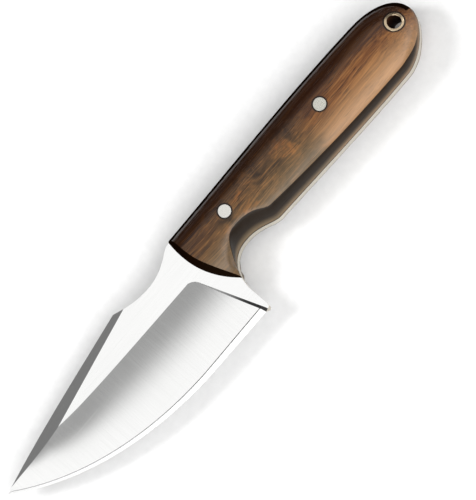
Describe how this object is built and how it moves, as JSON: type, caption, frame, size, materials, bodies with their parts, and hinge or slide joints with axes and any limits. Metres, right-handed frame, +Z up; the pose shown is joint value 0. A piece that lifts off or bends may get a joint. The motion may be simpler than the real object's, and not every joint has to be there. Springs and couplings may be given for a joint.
{
  "type": "whittling knife",
  "caption": "Full-tang fixed-blade whittling knife with a hollow-ground clip-point blade, dark wood scales, flush metal pins and a lanyard tube.",
  "frame": {"origin": "centre of the knife's footprint, on the surface it lies on, right side down", "axes": "+X along the knife from the tip towards the butt, +Y from the cutting edge towards the spine, +Z up, out of the left side"},
  "size_m": [0.2016, 0.04, 0.018],
  "materials": {
    "blade_steel": "mirror-polished steel with a bright hollow grind",
    "scale_wood": "dark figured hardwood, oiled and buffed to a satin gloss",
    "pin_metal": "solid pins ground flush and polished",
    "tube_metal": "pale brass tube, ground flush",
    "epoxy": "dark resin bond line"
  },
  "bodies": {
    "root": {"blade": "blade_steel", "left_scale": "scale_wood", "right_scale": "scale_wood", "left_epoxy": "epoxy", "right_epoxy": "epoxy", "front_pin": "pin_metal", "rear_pin": "pin_metal", "lanyard_tube": "tube_metal"}
  },
  "joints": []
}
